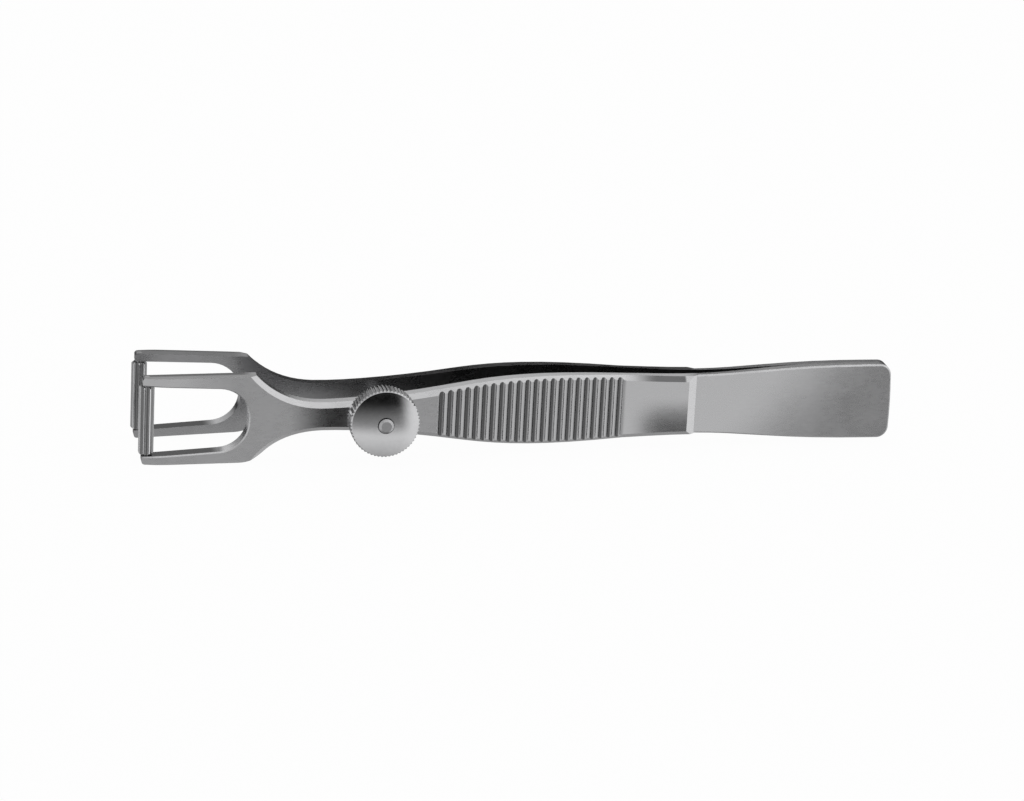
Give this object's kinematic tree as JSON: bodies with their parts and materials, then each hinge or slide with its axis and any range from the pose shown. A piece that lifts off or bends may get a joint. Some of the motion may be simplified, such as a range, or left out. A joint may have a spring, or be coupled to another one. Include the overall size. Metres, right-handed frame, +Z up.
{
  "type": "columella forceps",
  "caption": "Spring forceps with forked jaws that carry fluted crossbars, serrated grips, and a threaded post with a knurled nut that locks the arms.",
  "frame": {"origin": "on the table, under the middle of the whole instrument", "axes": "+X from the jaws to the butt, +Y from the arm with the nut to the other arm, +Z up, along the width of the arms"},
  "size_m": [0.12, 0.0188, 0.0137],
  "materials": {
    "arm_steel": "satin",
    "bar_steel": "satin",
    "post_steel": "machined",
    "nut_steel": "polished"
  },
  "bodies": {
    "far_half": {"far_arm": "arm_steel", "far_jaw_bar": "bar_steel", "screw_post": "post_steel"},
    "near_half": {"near_arm": "arm_steel", "near_jaw_bar": "bar_steel"},
    "nut": {"lock_nut": "nut_steel"}
  },
  "joints": [
    {"name": "arm_close", "type": "hinge", "parent": "far_half", "child": "near_half", "pos_m": [0.0447, 0.0018, 0.00685], "axis": [0, 0, -1], "range_deg": [0, 5.4], "stiffness_Nm_per_rad": 5},
    {"name": "nut_turn", "type": "hinge", "parent": "far_half", "child": "nut", "pos_m": [-0.0226, -0.0064, 0.00685], "axis": [0, -1, 0], "continuous": true}
  ]
}
